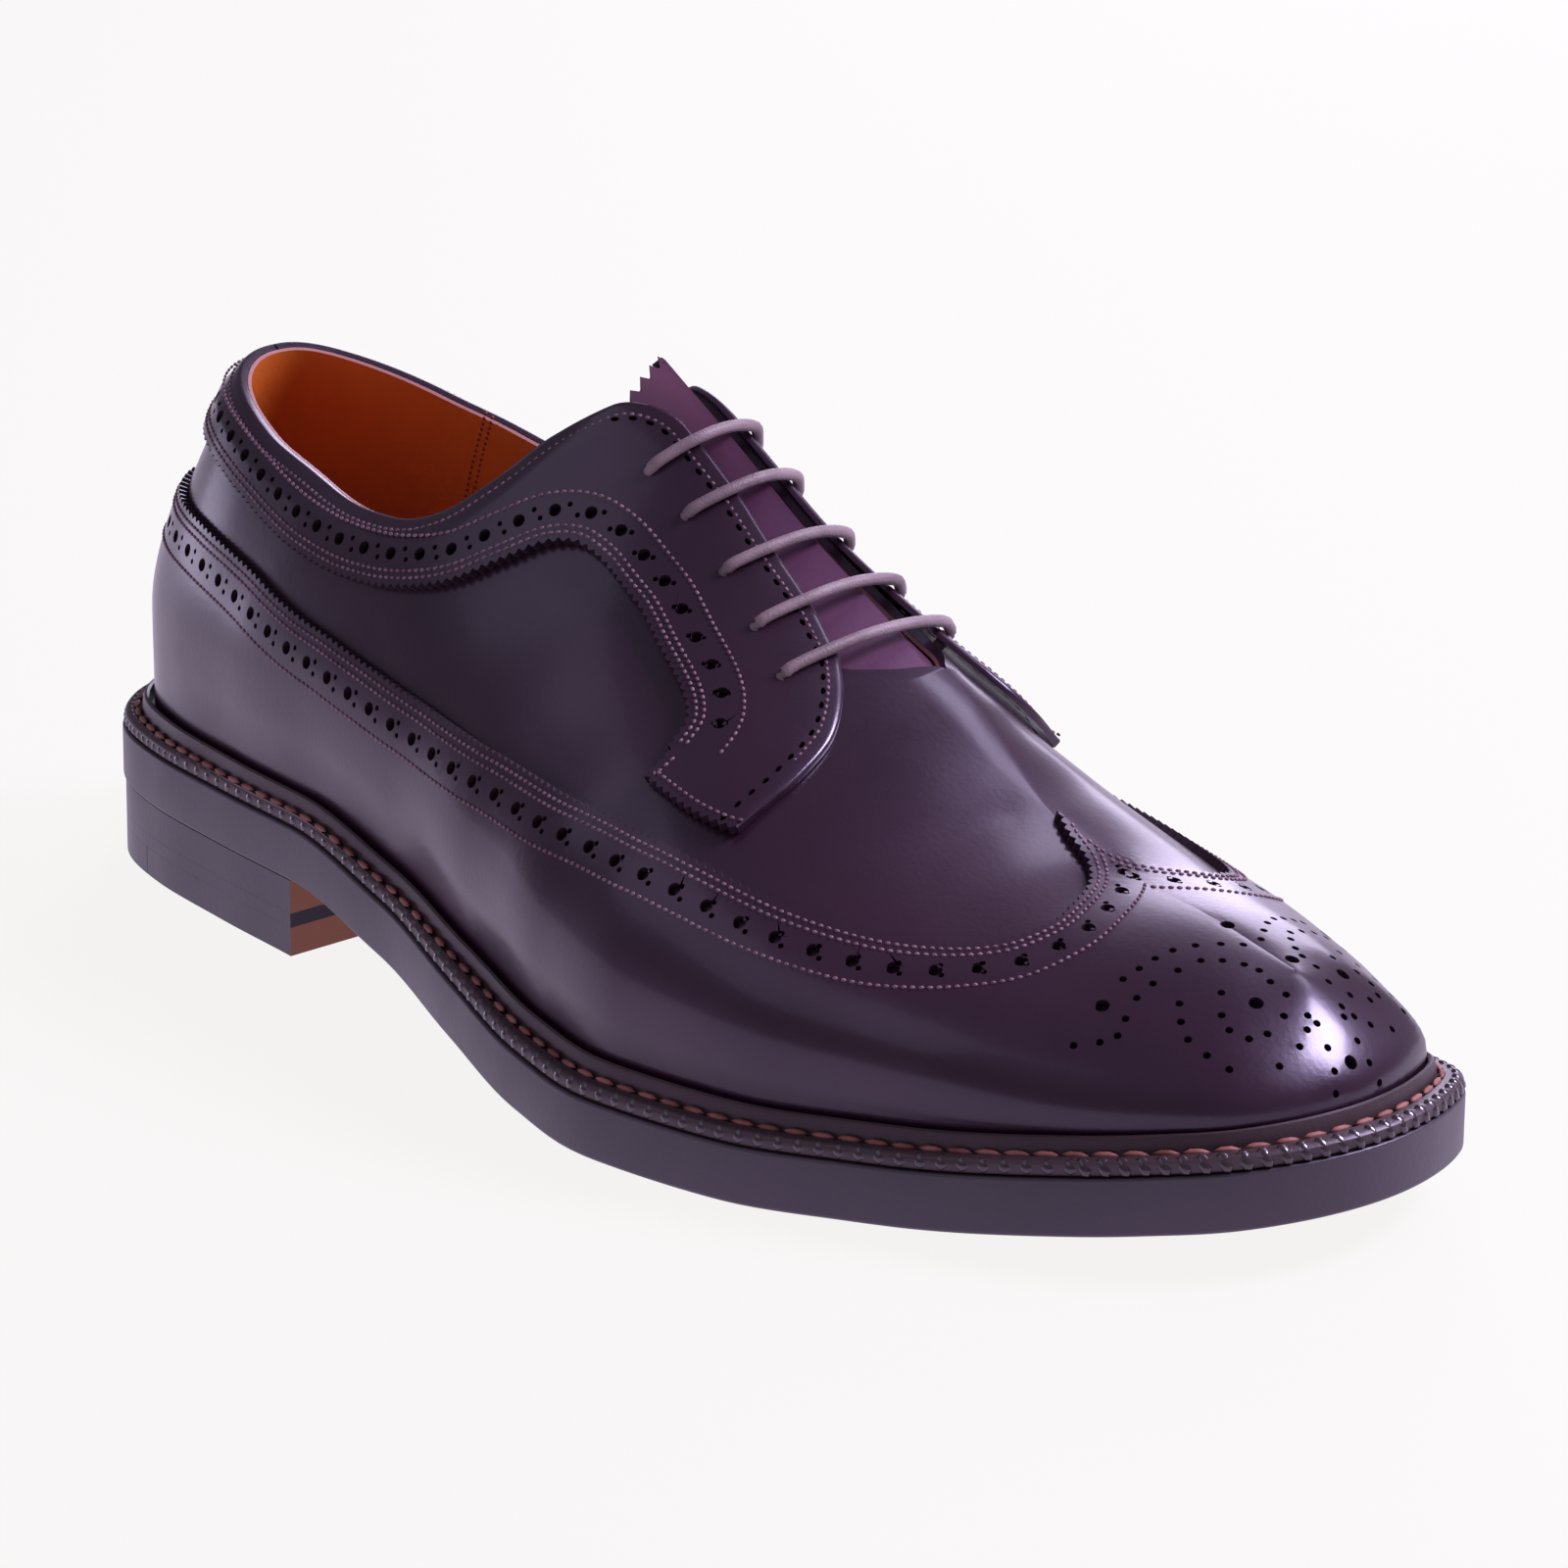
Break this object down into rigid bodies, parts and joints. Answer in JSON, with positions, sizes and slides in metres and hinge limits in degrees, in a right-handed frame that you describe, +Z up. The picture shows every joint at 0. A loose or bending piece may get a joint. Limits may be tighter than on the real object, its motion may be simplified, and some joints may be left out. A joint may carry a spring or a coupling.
{
  "type": "longwing brogue shoe",
  "caption": "Right longwing derby brogue in dark polished leather on a storm welt, a double leather sole and a stacked heel, laced over a tongue and open at the collar.",
  "frame": {"origin": "on the floor, under the middle of the heel's flat underside", "axes": "+X along the sole towards the toe, +Y towards the inner side of the foot, +Z up from the floor"},
  "size_m": [0.31, 0.1187, 0.115],
  "materials": {
    "upper_leather": "polished",
    "sole_leather": "edge dressed",
    "welt_leather": "edge dressed",
    "insole_leather": "matt",
    "heel_leather": "matt",
    "dark_lift": "matt",
    "heel_rubber": "matt",
    "lace": "waxed"
  },
  "bodies": {
    "root": {"outsole": "sole_leather", "welt": "welt_leather", "insole": "insole_leather", "top_piece_rear": "heel_rubber", "top_piece_front": "heel_leather", "middle_lift": "dark_lift", "upper_lift": "heel_leather", "upper": "upper_leather", "wing": "upper_leather", "outer_facing": "upper_leather", "inner_facing": "upper_leather", "tongue": "upper_leather", "lace_bar_1": "lace", "lace_bar_2": "lace", "lace_bar_3": "lace", "lace_bar_4": "lace", "lace_bar_5": "lace"}
  },
  "joints": []
}
